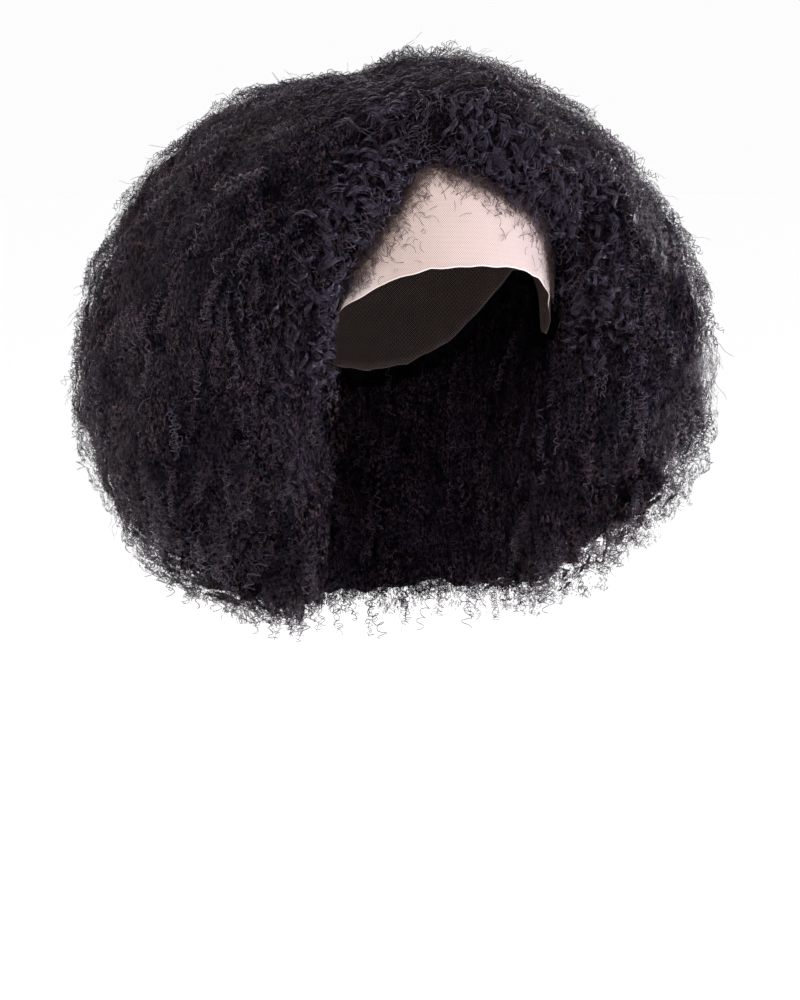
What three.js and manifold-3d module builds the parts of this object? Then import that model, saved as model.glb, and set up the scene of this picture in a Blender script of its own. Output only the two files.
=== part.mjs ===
// Full lace wig: a hollow cap of fine lace in two panels, with a large rounded mass
// of kinky curls tied to it, parted on the wearer's right.
// Millimetres, +Z up. The wearer faces -Y, and the wearer's left is +X.
// The origin is the crown seat, where the top of the head touches the inside of the cap.
// Azimuth is in degrees about Z: 0 is the front, and positive turns to the wearer's left.

import * as THREE from "three";
import { mergeVertices } from "three/addons/utils/BufferGeometryUtils.js";
import Module from "manifold-3d";

const wasm = await Module();
wasm.setup();

// Head that the cap fits
const HEAD_HALF_WIDTH = 76;
const HEAD_HALF_LENGTH = 97;
const CROWN_HEIGHT = 100; // from the widest level up to the crown
const SKULL_POWER = 2.4; // superellipse power, so that the skull is a little square
const NECK_SHARE = 0.9; // the neck's width as a share of the head's
const NECK_DEPTH = 70; // from the widest level down to the neck

// Cap
const LACE_WALL = 1;
const PIECE_GAP = 0.3;
const SEAM_Y = 10; // the ear-to-ear seam between the two panels

// Outer form of the hair, an egg that is wider than deep
const HAIR_HALF_WIDTH = 197;
const HAIR_HALF_DEPTH = 180;
const HAIR_CENTRE = { x: -4, y: 26, z: -170 };
const HAIR_RISE = 198; // from the widest level up to the top
const HAIR_DROP = 164; // from the widest level down to the hem
const EDGE_THICKNESS = 6; // of the hair where it starts at the hairline
const EDGE_ROUNDING = 24; // degrees, seen from the head's centre, over which it swells to its full form
const LEAST_THICKNESS = 22; // of the hair past that swelling, in the part
const FACE_END = 80; // azimuth, to each side, past which the hair runs down to the hem

// Part: a valley from the notch in the hairline back towards the crown
const PART_FRONT = { x: -23, y: -75 };
const PART_BACK = { x: -38, y: 45 };
const PART_DEPTH = 16;
const PART_WIDTH_LEFT = 26; // the valley's steep side, on the wearer's left
const PART_WIDTH_RIGHT = 34;
const PART_FADE = 60; // how far past its back end the valley runs out

// Locks, which flow away from the notch over the whole form
const LOCK_RELIEF = 12; // half of a lock's thickness
const LOCK_SPACING = 48; // from one lock to the next in its row
const LOCK_OVERLAP = 1.15; // a lock's width as a share of its spacing
const LOCK_INSET = 8; // from the outer form in to the backing
const LOCK_SIDES = 5;
const LOCK_BLEND = 0.5; // how closely the facets follow where locks meet
const LOCK_SWAY = 5; // degrees to each side
const LOCK_WAVES = 0.8; // of that sway along one lock
const LOCK_LENGTHS = [0.9, 1.15]; // shortest and longest, as a share of the row's length
const LOCK_CLEARANCE = 6; // degrees between a lock's middle line and the hairline
const LOCK_SOURCE = { azimuth: -25, elevation: 72 }; // where the flow starts, seen from the head's centre

// Facets
const HEAD_STEPS = 40; // round the head
const SKULL_RINGS = 6; // from the crown down to the widest level
const NECK_RINGS = 3; // from there down to the neck
const HAIR_STEPS = 36;
const HAIR_RINGS = 15;
const EDGE_STEPS = 90; // round the hairline and the rim
const SHORTEST_EDGE = 0.03;
const BEYOND = 700; // larger than anything here

// Lower edge of the lace, the same on both sides of the head
const RIM = [
  { azimuth: 0, height: -93.5 },
  { azimuth: 20, height: -95 },
  { azimuth: 37, height: -102 },
  { azimuth: 50, height: -112 },
  { azimuth: 58, height: -118 },
  { azimuth: 64, height: -127 },
  { azimuth: 70, height: -138 },
  { azimuth: 79, height: -137 },
  { azimuth: 87, height: -116 },
  { azimuth: 95, height: -100 },
  { azimuth: 108, height: -103 },
  { azimuth: 122, height: -124 },
  { azimuth: 140, height: -149 },
  { azimuth: 160, height: -163 },
  { azimuth: 180, height: -167 },
];

// Front edge of the hair on the head: up the right side of the face, over the notch and down the left
const HAIRLINE = [
  { azimuth: -FACE_END, height: -380 },
  { azimuth: -67, height: -200 },
  { azimuth: -60, height: -116 },
  { azimuth: -51, height: -93 },
  { azimuth: -39, height: -70 },
  { azimuth: -27, height: -45 },
  { azimuth: -20, height: -34 },
  { azimuth: -12, height: -38 },
  { azimuth: 5, height: -47 },
  { azimuth: 23, height: -58 },
  { azimuth: 36, height: -65 },
  { azimuth: 44, height: -75 },
  { azimuth: 53, height: -96 },
  { azimuth: 60, height: -116 },
  { azimuth: 67, height: -200 },
  { azimuth: FACE_END, height: -380 },
];

// Rows of locks, by the angle in degrees from the source of the flow
const LOCK_ROWS = [
  { angle: 10, length: 34 },
  { angle: 33, length: 34 },
  { angle: 56, length: 33 },
  { angle: 78, length: 33 },
  { angle: 100, length: 32 },
  { angle: 122, length: 31 },
  { angle: 143, length: 28 },
];

// Sections of one lock: place along it, thickness, and lift off the backing as a share of the relief
const LOCK_SECTIONS = [
  { along: 0.0, girth: 0.6, lift: -0.5 },
  { along: 0.3, girth: 1.0, lift: 0.0 },
  { along: 0.62, girth: 0.95, lift: 0.05 },
  { along: 0.88, girth: 0.6, lift: 0.3 },
];
const LOCK_ROOT = { along: -0.04, lift: -0.8 };
const LOCK_TIP = { along: 1.05, lift: 0.55 };

const HEAD_CENTRE = new THREE.Vector3(0, 0, -CROWN_HEIGHT);
const radians = THREE.MathUtils.degToRad;
const degrees = THREE.MathUtils.radToDeg;
const clamp = THREE.MathUtils.clamp;
const lerp = THREE.MathUtils.lerp;

const lace = new THREE.MeshStandardMaterial({ color: 0xd9b9a6, roughness: 0.8, metalness: 0 });
const hair = new THREE.MeshStandardMaterial({ color: 0x1b1514, roughness: 0.55, metalness: 0 });

// Height at an azimuth, straight between the rows of an edge table and level past its ends
function heightAt(table, azimuth) {
  const found = table.findIndex((row) => row.azimuth >= azimuth);
  const next = found < 0 ? table.length - 1 : Math.max(found, 1);
  const before = table[next - 1];
  const after = table[next];
  const share = clamp((azimuth - before.azimuth) / (after.azimuth - before.azimuth), 0, 1);
  return lerp(before.height, after.height, share);
}

function direction(azimuth, elevation) {
  const level = Math.cos(radians(elevation));
  return new THREE.Vector3(
    level * Math.sin(radians(azimuth)),
    -level * Math.cos(radians(azimuth)),
    Math.sin(radians(elevation)),
  );
}

// The same number for the same seed, between 0 and 1
function scatter(seed) {
  const value = Math.sin(seed * 12.9898) * 43758.5453;
  return value - Math.floor(value);
}

// A closed solid skinned over rings of points, with a single point at each end
function solidOfRings(start, rings, end) {
  const steps = rings[0].length;
  const points = [start, ...rings.flat(), end];
  const last = points.length - 1;
  const at = (ring, step) => 1 + ring * steps + (step % steps);
  const triangles = [];
  for (let step = 0; step < steps; step++) {
    triangles.push(0, at(0, step), at(0, step + 1));
    for (let ring = 0; ring + 1 < rings.length; ring++) {
      triangles.push(at(ring, step), at(ring + 1, step), at(ring + 1, step + 1));
      triangles.push(at(ring, step), at(ring + 1, step + 1), at(ring, step + 1));
    }
    triangles.push(last, at(rings.length - 1, step + 1), at(rings.length - 1, step));
  }
  const geometry = new THREE.BufferGeometry().setFromPoints(points);
  geometry.setIndex(triangles);
  return solidOf(geometry);
}

function solidOf(geometry) {
  geometry.deleteAttribute("normal");
  geometry.deleteAttribute("uv");
  const merged = mergeVertices(geometry, 1e-5);
  const mesh = new wasm.Mesh({
    numProp: 3,
    vertProperties: new Float32Array(merged.attributes.position.array),
    triVerts: new Uint32Array(merged.index.array),
  });
  mesh.merge();
  return new wasm.Manifold(mesh);
}

// A mesh of the largest body of a solid, without the slivers that a cut may leave
function meshOf(solid, name, material) {
  const bodies = solid.asOriginal().simplify(SHORTEST_EDGE).decompose();
  const [largest] = bodies.sort((a, b) => b.volume() - a.volume());
  const { vertProperties, triVerts } = largest.getMesh();
  const geometry = new THREE.BufferGeometry();
  geometry.setAttribute("position", new THREE.BufferAttribute(vertProperties, 3));
  geometry.setIndex(new THREE.BufferAttribute(triVerts, 1));
  geometry.computeVertexNormals();
  const mesh = new THREE.Mesh(geometry, material);
  mesh.name = name;
  return mesh;
}

// Width of the head at a height, as a share of its widest
function headShare(height, offset) {
  const up = (height + CROWN_HEIGHT) / (CROWN_HEIGHT + offset);
  if (up >= 1) return 0;
  if (up >= 0) return (1 - up ** SKULL_POWER) ** (1 / SKULL_POWER);
  const down = clamp((-height - CROWN_HEIGHT) / NECK_DEPTH, 0, 1);
  return 1 - (1 - NECK_SHARE) * down ** 2;
}

function headPoint(azimuth, height, offset, share = headShare(height, offset)) {
  return new THREE.Vector3(
    (HEAD_HALF_WIDTH + offset) * share * Math.sin(radians(azimuth)),
    -(HEAD_HALF_LENGTH + offset) * share * Math.cos(radians(azimuth)),
    height,
  );
}

// The head, grown by an offset, from the crown down through the neck
function headSolid(offset, bottom) {
  const levels = [];
  for (let ring = 1; ring <= SKULL_RINGS; ring++) {
    const angle = radians((90 * ring) / SKULL_RINGS);
    const height = (CROWN_HEIGHT + offset) * Math.max(Math.cos(angle), 0) ** (2 / SKULL_POWER);
    levels.push({ height: height - CROWN_HEIGHT, share: Math.sin(angle) ** (2 / SKULL_POWER) });
  }
  for (let ring = 1; ring <= NECK_RINGS; ring++) {
    const height = -CROWN_HEIGHT - (NECK_DEPTH * ring) / NECK_RINGS;
    levels.push({ height, share: headShare(height, offset) });
  }
  levels.push({ height: bottom, share: NECK_SHARE });
  const rings = levels.map(({ height, share }) => {
    return Array.from({ length: HEAD_STEPS }, (_, step) => {
      return headPoint((360 * step) / HEAD_STEPS, height, offset, share);
    });
  });
  return solidOfRings(new THREE.Vector3(0, 0, offset), rings, new THREE.Vector3(0, 0, bottom));
}

// All that lies below a surface whose height is a function of azimuth and of distance from the axis,
// which is 1 at the widest level of the head
function groundBelow(surface) {
  const azimuths = Array.from({ length: EDGE_STEPS }, (_, step) => (360 * step) / EDGE_STEPS - 180);
  const ring = (share, height) => {
    return azimuths.map((azimuth) => headPoint(azimuth, height(azimuth, share), 0, share));
  };
  const inner = 0.1;
  const outer = BEYOND / HEAD_HALF_LENGTH;
  const floor = -8 * BEYOND;
  const rings = [ring(inner, surface), ring(outer, surface), ring(outer, () => floor)];
  const middle = rings[0].reduce((sum, point) => sum + point.z, 0) / EDGE_STEPS;
  return solidOfRings(new THREE.Vector3(0, 0, middle), rings, new THREE.Vector3(0, 0, floor));
}

// Azimuth on the head of a direction from its centre
function headAzimuth({ x, y }) {
  return degrees(Math.atan2(x / HEAD_HALF_WIDTH, -y / HEAD_HALF_LENGTH));
}

// How far a ray from the head's centre stays inside a form
function reach(ray, inside) {
  let near = 0;
  let far = BEYOND;
  for (let pass = 0; pass < 30; pass++) {
    const middle = (near + far) / 2;
    const point = HEAD_CENTRE.clone().addScaledVector(ray, middle);
    if (inside(point)) near = middle;
    else far = middle;
  }
  return near;
}

function insideHead({ x, y, z }) {
  const share = headShare(z, 0);
  return Math.hypot(x / HEAD_HALF_WIDTH, y / HEAD_HALF_LENGTH) < share;
}

// Depth of the part's valley at a place seen from above
function partDepth(x, y) {
  const along = clamp((y - PART_FRONT.y) / (PART_BACK.y - PART_FRONT.y), 0, 1);
  const aside = x - lerp(PART_FRONT.x, PART_BACK.x, along);
  const width = aside > 0 ? PART_WIDTH_LEFT : PART_WIDTH_RIGHT;
  const fade = 1 - clamp((y - PART_BACK.y) / PART_FADE, 0, 1);
  return PART_DEPTH * fade * Math.exp(-((aside / width) ** 2));
}

// The egg inside the locks, with the valley of the part
function insideBacking({ x, y, z }) {
  const up = z + partDepth(x, y) - HAIR_CENTRE.z;
  const across = (x - HAIR_CENTRE.x) / (HAIR_HALF_WIDTH - LOCK_INSET);
  const back = (y - HAIR_CENTRE.y) / (HAIR_HALF_DEPTH - LOCK_INSET);
  const rise = up / ((up > 0 ? HAIR_RISE : HAIR_DROP) - LOCK_INSET);
  return across ** 2 + back ** 2 + rise ** 2 < 1;
}

const hairlineRays = [];
for (let step = 0; step <= EDGE_STEPS; step++) {
  const azimuth = lerp(-FACE_END, FACE_END, step / EDGE_STEPS);
  const point = headPoint(azimuth, heightAt(HAIRLINE, azimuth), 0);
  hairlineRays.push(point.sub(HEAD_CENTRE).normalize());
}

// Degrees from the hairline to a ray, negative over the face
function pastHairline(ray) {
  const nearest = Math.max(...hairlineRays.map((edge) => edge.dot(ray)));
  const azimuth = headAzimuth(ray);
  const edge = headPoint(azimuth, heightAt(HAIRLINE, azimuth), 0).sub(HEAD_CENTRE).normalize();
  const apart = degrees(Math.acos(clamp(nearest, -1, 1)));
  return ray.z > edge.z ? apart : -apart;
}

// Distance from the head's centre to the backing, which swells smoothly from the hairline
function backingReach(ray) {
  const head = reach(ray, insideHead);
  const egg = reach(ray, insideBacking);
  if (ray.z < 0 && head > egg) return egg;
  const start = head + EDGE_THICKNESS;
  const full = Math.max(egg, head + LEAST_THICKNESS);
  const share = clamp(pastHairline(ray) / EDGE_ROUNDING, 0, 1);
  return lerp(start, full, Math.sqrt(1 - (1 - share) ** 2));
}

function backingSolid() {
  const point = (ray) => HEAD_CENTRE.clone().addScaledVector(ray, backingReach(ray));
  const rings = Array.from({ length: HAIR_RINGS }, (_, ring) => {
    const elevation = 90 - (180 * (ring + 1)) / (HAIR_RINGS + 1);
    return Array.from({ length: HAIR_STEPS }, (_, step) => {
      return point(direction((360 * step) / HAIR_STEPS, elevation));
    });
  });
  return solidOfRings(point(direction(0, 90)), rings, point(direction(0, -90)));
}

// Ray from the head's centre, by the angle from the source of the flow and the turn round it
const flowSource = direction(LOCK_SOURCE.azimuth, LOCK_SOURCE.elevation);
const flowTilt = new THREE.Quaternion().setFromUnitVectors(new THREE.Vector3(0, 0, 1), flowSource);
function flowRay(angle, turn) {
  return direction(turn, 90 - angle).applyQuaternion(flowTilt);
}

// One tapered, swaying lock that lies on the backing and flows away from the source
function lockSolid(row, turn, seed) {
  const length = row.length * lerp(...LOCK_LENGTHS, scatter(seed));
  const start = scatter(seed + 0.5);
  const rayAt = (along) => {
    const angle = row.angle + length * along;
    const sway = LOCK_SWAY * Math.sin(2 * Math.PI * (start + LOCK_WAVES * along));
    return flowRay(angle, turn + sway / Math.max(Math.sin(radians(angle)), 0.5));
  };
  const pointAt = ({ along, lift }) => {
    const ray = rayAt(along);
    return HEAD_CENTRE.clone().addScaledVector(ray, backingReach(ray) + lift * LOCK_RELIEF);
  };
  const rings = LOCK_SECTIONS.map((section) => {
    const centre = pointAt(section);
    const out = rayAt(section.along);
    const ahead = pointAt({ along: section.along + 0.05, lift: section.lift }).sub(centre).normalize();
    const aside = new THREE.Vector3().crossVectors(ahead, out).normalize();
    return Array.from({ length: LOCK_SIDES }, (_, side) => {
      const angle = (2 * Math.PI * (side + 0.25)) / LOCK_SIDES;
      const across = (LOCK_OVERLAP * LOCK_SPACING * section.girth * Math.cos(angle)) / 2;
      const height = LOCK_RELIEF * section.girth * Math.sin(angle);
      return centre.clone().addScaledVector(aside, across).addScaledVector(out, height);
    });
  });
  return solidOfRings(pointAt(LOCK_ROOT), rings, pointAt(LOCK_TIP));
}

// Every lock that lies on the hair, off the face and outside the neck
function lockSolids() {
  const locks = [];
  LOCK_ROWS.forEach((row, index) => {
    const radius = HAIR_HALF_DEPTH * Math.sin(radians(row.angle + row.length / 2));
    const count = Math.round((2 * Math.PI * radius) / LOCK_SPACING);
    for (let step = 0; step < count; step++) {
      const turn = (360 * (step + 0.5 * (index % 2))) / count;
      const onHair = [0.1, 1].every((along) => {
        const ray = flowRay(row.angle + row.length * along, turn);
        const clearOfNeck = reach(ray, insideHead) < backingReach(ray) - LOCK_RELIEF;
        return clearOfNeck && pastHairline(ray) > LOCK_CLEARANCE;
      });
      if (onHair) locks.push(lockSolid(row, turn, 100 * index + step));
    }
  });
  return locks;
}

// All that lies on one side of a plane, half a gap off it
function sideOf(point, normal) {
  const box = new THREE.BoxGeometry(4 * BEYOND, 4 * BEYOND, BEYOND);
  box.translate(0, 0, BEYOND / 2 + PIECE_GAP / 2);
  box.applyQuaternion(new THREE.Quaternion().setFromUnitVectors(new THREE.Vector3(0, 0, 1), normal));
  box.translate(point.x, point.y, point.z);
  return solidOf(box);
}

// Planes between the pieces
const seamPoint = new THREE.Vector3(0, SEAM_Y, 0);
const partPoint = new THREE.Vector3(PART_FRONT.x, PART_FRONT.y, 0);
const partNormal = new THREE.Vector3(PART_BACK.y - PART_FRONT.y, PART_FRONT.x - PART_BACK.x, 0).normalize();
const topSpread = radians(52); // how far down each side the top sections reach, from straight up
const napeTilt = radians(12); // how far the crown section's lower edge falls towards the back
const planes = {
  front: [seamPoint, new THREE.Vector3(0, -1, 0)],
  back: [seamPoint, new THREE.Vector3(0, 1, 0)],
  partLeft: [partPoint, partNormal],
  partRight: [partPoint, partNormal.clone().negate()],
  aboveLeft: [HEAD_CENTRE, new THREE.Vector3(-Math.cos(topSpread), 0, Math.sin(topSpread))],
  belowLeft: [HEAD_CENTRE, new THREE.Vector3(Math.cos(topSpread), 0, -Math.sin(topSpread))],
  aboveRight: [HEAD_CENTRE, new THREE.Vector3(Math.cos(topSpread), 0, Math.sin(topSpread))],
  belowRight: [HEAD_CENTRE, new THREE.Vector3(-Math.cos(topSpread), 0, -Math.sin(topSpread))],
  left: [HEAD_CENTRE, new THREE.Vector3(1, 0, 0)],
  right: [HEAD_CENTRE, new THREE.Vector3(-1, 0, 0)],
  upper: [HEAD_CENTRE, new THREE.Vector3(0, Math.sin(napeTilt), Math.cos(napeTilt))],
  lower: [HEAD_CENTRE, new THREE.Vector3(0, -Math.sin(napeTilt), -Math.cos(napeTilt))],
};

const HAIR_SECTIONS = [
  { name: "hair_top_left", sides: ["front", "partLeft", "aboveLeft"] },
  { name: "hair_top_right", sides: ["front", "partRight", "aboveRight"] },
  { name: "hair_side_left", sides: ["front", "left", "belowLeft"] },
  { name: "hair_side_right", sides: ["front", "right", "belowRight"] },
  { name: "hair_crown", sides: ["back", "upper"] },
  { name: "hair_nape", sides: ["back", "lower"] },
];

function section(solid, sides) {
  return sides.reduce((rest, side) => rest.intersect(sideOf(...planes[side])), solid);
}

function laceShell() {
  const bottom = -CROWN_HEIGHT - NECK_DEPTH - LACE_WALL;
  const wall = headSolid(LACE_WALL, bottom).subtract(headSolid(0, bottom - LACE_WALL));
  return wall.subtract(groundBelow((azimuth) => heightAt(RIM, Math.abs(azimuth))));
}

// The whole mass of hair round the cap, open over the face and down the neck
function hairMass() {
  const face = groundBelow((azimuth, share) => {
    const height = heightAt(HAIRLINE, azimuth);
    return HEAD_CENTRE.z + ((height - HEAD_CENTRE.z) * share) / headShare(height, 0);
  });
  const hollow = headSolid(LACE_WALL + PIECE_GAP, HAIR_CENTRE.z - 2 * HAIR_DROP);
  const backing = backingSolid().subtract(face);
  const outside = lockSolids().reduce((mass, lock) => mass.add(lock), backing);
  return outside.asOriginal().simplify(LOCK_BLEND).subtract(hollow);
}

const wig = new THREE.Group();
const shell = laceShell();
wig.add(meshOf(section(shell, ["front"]), "lace_front", lace));
wig.add(meshOf(section(shell, ["back"]), "lace_back", lace));
const mass = hairMass();
for (const { name, sides } of HAIR_SECTIONS) {
  wig.add(meshOf(section(mass, sides), name, hair));
}

export default wig;
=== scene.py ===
# %% [markdown]
# # A full lace wig
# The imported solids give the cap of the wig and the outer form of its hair. This lesson dresses
# them: the cap becomes two panels of fine net, and the form of the hair becomes a dark mass
# with many thousand turns of curl standing on it.
# Everything is in metres, with the crown of the cap at the origin and the face towards -Y.

# %% Load the frame
import math

import bpy
import numpy as np
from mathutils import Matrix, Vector, noise
from mathutils.bvhtree import BVHTree


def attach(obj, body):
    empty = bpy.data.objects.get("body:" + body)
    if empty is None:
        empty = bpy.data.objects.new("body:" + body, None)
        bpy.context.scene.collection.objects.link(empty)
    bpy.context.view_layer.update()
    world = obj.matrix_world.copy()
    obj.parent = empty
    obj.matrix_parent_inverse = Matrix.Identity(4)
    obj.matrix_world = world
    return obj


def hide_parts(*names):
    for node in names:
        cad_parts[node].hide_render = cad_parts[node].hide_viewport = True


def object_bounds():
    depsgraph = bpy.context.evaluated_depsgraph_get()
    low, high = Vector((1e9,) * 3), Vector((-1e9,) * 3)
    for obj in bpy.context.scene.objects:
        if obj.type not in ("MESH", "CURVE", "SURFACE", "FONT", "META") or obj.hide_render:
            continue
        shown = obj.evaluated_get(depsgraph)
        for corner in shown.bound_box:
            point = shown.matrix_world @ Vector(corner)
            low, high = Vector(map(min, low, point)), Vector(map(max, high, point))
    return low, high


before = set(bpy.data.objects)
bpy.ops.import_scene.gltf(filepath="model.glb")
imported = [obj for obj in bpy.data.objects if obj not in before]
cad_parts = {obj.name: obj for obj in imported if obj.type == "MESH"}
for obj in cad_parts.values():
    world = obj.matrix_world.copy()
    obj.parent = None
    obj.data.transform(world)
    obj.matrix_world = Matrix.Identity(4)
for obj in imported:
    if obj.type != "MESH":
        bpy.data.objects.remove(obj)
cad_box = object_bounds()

HAIR_NODES = sorted(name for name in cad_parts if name.startswith("hair_"))
LACE_NODES = sorted(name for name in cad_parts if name.startswith("lace_"))
print("hair solids:", HAIR_NODES, "lace solids:", LACE_NODES)

# %% [markdown]
# ## Camera
# A portrait of a worn piece is taken from a few metres away with a long lens, so that the near
# side doesn't swell. The camera is turned to the wearer's right and stands a little above.

# %% Camera
CAMERA_AZIMUTH = math.radians(-20)
CAMERA_ELEVATION = math.radians(7)
CAMERA_DISTANCE = 1.8
CAMERA_TARGET = Vector((-0.0199, -0.0235, -0.2351))
LENS_MM = 108.9

view_back = Vector((
    math.sin(CAMERA_AZIMUTH) * math.cos(CAMERA_ELEVATION),
    -math.cos(CAMERA_AZIMUTH) * math.cos(CAMERA_ELEVATION),
    math.sin(CAMERA_ELEVATION),
))
bpy.ops.object.select_all(action="DESELECT")
bpy.ops.object.camera_add(location=CAMERA_TARGET + view_back * CAMERA_DISTANCE)
camera = bpy.context.object
camera.rotation_euler = (-view_back).to_track_quat("-Z", "Y").to_euler()
camera.data.lens = LENS_MM
camera.data.clip_end = 100
bpy.context.scene.camera = camera
print("camera at", tuple(round(value, 3) for value in camera.location))

# %% [markdown]
# ## Shader maths as Python
# A material is a tree of nodes, and sums in it are Math nodes. Wiring those by hand hides the
# sum, so one small class wraps a socket: `1 - mask` then adds the node and reads as a sum.
# Every other node comes from its `node` method, which sets a node's options first.


# %% Wires
class Wire:
    """A node tree, and one output socket in it that can be used in sums."""

    def __init__(self, tree, socket=None):
        self.tree = tree
        self.socket = socket

    def node(self, kind, settings, sockets, output=0):
        """Adds a node with its options and sockets, and gives one of its outputs."""
        made = self.tree.nodes.new(kind)
        for name, value in settings.items():
            if name == "stops":
                set_stops(made.color_ramp, value)
            else:
                setattr(made, name, value)
        for name, value in sockets.items():
            if isinstance(value, Wire):
                self.tree.links.new(value.socket, made.inputs[name])
            else:
                made.inputs[name].default_value = value
        return Wire(self.tree, made.outputs[output] if made.outputs else None)

    def math(self, operation, *values):
        return self.node("ShaderNodeMath", {"operation": operation}, dict(enumerate(values)))

    def __add__(self, other):
        return self.math("ADD", self, other)

    def __sub__(self, other):
        return self.math("SUBTRACT", self, other)

    def __rsub__(self, other):
        return self.math("SUBTRACT", other, self)

    def __mul__(self, other):
        return self.math("MULTIPLY", self, other)

    __radd__ = __add__
    __rmul__ = __mul__

    def cosine(self):
        return self.math("COSINE", self)

    def larger(self, other):
        return self.math("MAXIMUM", self, other)

    def smooth(self, low, high):
        settings = {"interpolation_type": "SMOOTHSTEP"}
        return self.node("ShaderNodeMapRange", settings, {0: self, 1: low, 2: high})


def set_stops(ramp, stops):
    """Gives a colour ramp its stops, each a place and a colour."""
    while len(ramp.elements) < len(stops):
        ramp.elements.new(1)
    for element, (place, colour) in zip(ramp.elements, stops):
        element.position = place
        element.color = (*colour, 1)


def blend_colours(share, first, second):
    """Colours mixed by a share from 0, the first, to 1, the second."""
    colours = [c if isinstance(c, Wire) else (*c, 1) for c in (first, second)]
    settings = {"data_type": "RGBA"}
    return share.node("ShaderNodeMix", settings, {0: share, 6: colours[0], 7: colours[1]}, output=2)


def new_finish(name):
    """An empty material and the wire that its nodes are added with."""
    material = bpy.data.materials.new(name)
    material.use_nodes = True
    material.node_tree.nodes.clear()
    return material, Wire(material.node_tree)


def surface(wire, sockets):
    """A Principled shader with the given sockets, as the material's surface."""
    shader = wire.node("ShaderNodeBsdfPrincipled", {}, sockets)
    wire.node("ShaderNodeOutputMaterial", {}, {"Surface": shader})


print("wires ready")

# %% [markdown]
# ## Stage and light
# Black hair is pictured against white, with soft light from all round and a few large lamps
# whose reflections draw the curls. A sun lights a floor evenly however far it reaches, so the
# floor meets the white surroundings without a line. What lights the hair is dimmer than what
# the camera sees behind it, or the black would turn grey.

# %% Stage and light
FLOOR_DROP = 0.42
FLOOR_SIZE = 60
FLOOR_COLOUR = (0.93, 0.93, 0.935)
SURROUND_SEEN = (0.975, 0.975, 0.98, 1)
SURROUND_LIGHT = 0.35
SUN_STRENGTH = 2.9
SUN_SPREAD = math.radians(50)
SUN_AT = (-1, -1.2, 2)
LIT_MIDDLE = Vector((0, 0, -0.15))
LAMPS = [
    {"at": (-1.3, -1.6, 0.7), "size": 0.9, "power": 19, "colour": (1, 0.98, 1)},
    {"at": (1.6, -1.1, -0.05), "size": 0.8, "power": 56, "colour": (0.84, 0.87, 1)},
    {"at": (-0.2, 0.9, 1.4), "size": 0.9, "power": 24, "colour": (1, 0.95, 0.91)},
    {"at": (0.9, 1.8, 0.4), "size": 1.0, "power": 31, "colour": (1, 0.97, 0.95)},
    {"at": (-1.6, 0.9, 0.1), "size": 0.8, "power": 42, "colour": (1, 0.93, 0.88)},
    {"at": (1.7, 0.7, -0.3), "size": 0.6, "power": 66, "colour": (0.98, 0.94, 1)},
]

bpy.ops.object.select_all(action="DESELECT")
bpy.ops.mesh.primitive_plane_add(size=FLOOR_SIZE, location=(0, 0, cad_box[0].z - FLOOR_DROP))
floor = bpy.context.object
floor.name = "floor"
bpy.ops.object.transform_apply(location=True, rotation=True, scale=True)
floor_finish, wire = new_finish("floor_paper")
surface(wire, {"Base Color": (*FLOOR_COLOUR, 1), "Roughness": 0.9, "Specular IOR Level": 0.1})
floor.data.materials.append(floor_finish)

world = bpy.context.scene.world or bpy.data.worlds.new("studio")
bpy.context.scene.world = world
world.use_nodes = True
world.node_tree.nodes.clear()
wire = Wire(world.node_tree)
seen = wire.node("ShaderNodeLightPath", {}, {}, output="Is Camera Ray")
strength = seen + (1 - seen) * SURROUND_LIGHT
around = wire.node("ShaderNodeBackground", {}, {"Color": SURROUND_SEEN, "Strength": strength})
wire.node("ShaderNodeOutputWorld", {}, {"Surface": around})

bpy.ops.object.light_add(type="SUN", location=SUN_AT)
sun = bpy.context.object
sun.data.energy = SUN_STRENGTH
sun.data.angle = SUN_SPREAD
sun.rotation_euler = (sun.location - LIT_MIDDLE).to_track_quat("Z", "Y").to_euler()
for lamp in LAMPS:
    bpy.ops.object.light_add(type="AREA", location=lamp["at"])
    softbox = bpy.context.object
    softbox.data.size = lamp["size"]
    softbox.data.energy = lamp["power"]
    softbox.data.color = lamp["colour"]
    softbox.rotation_euler = (softbox.location - LIT_MIDDLE).to_track_quat("Z", "Y").to_euler()
bpy.context.scene.view_settings.view_transform = "Standard"
print("floor at", round(cad_box[0].z - FLOOR_DROP, 3), "and", len(LAMPS), "lamps")

# %% [markdown]
# ## The hair solids as one smooth form
# The solids are faceted and lie a hair's breadth apart. The curls need one smooth surface to
# lie on, so a copy of the solids is joined, welded and remeshed. Remeshing by voxels closes the
# gaps, and smoothing takes out the facets but keeps the large locks.

# %% Hair form
FORM_VOXEL = 0.006
FORM_SMOOTHING = 7
FORM_WELD = 1e-5


def select_only(piece):
    """Makes one object the only one selected, and the active one."""
    bpy.ops.object.select_all(action="DESELECT")
    bpy.context.view_layer.objects.active = piece
    piece.select_set(True)


def apply_modifier(piece, kind, **settings):
    """Adds a modifier with its settings and applies it."""
    bpy.context.view_layer.objects.active = piece
    modifier = piece.modifiers.new(kind.lower(), kind)
    for name, value in settings.items():
        setattr(modifier, name, value)
    bpy.ops.object.modifier_apply(modifier=modifier.name)


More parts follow.
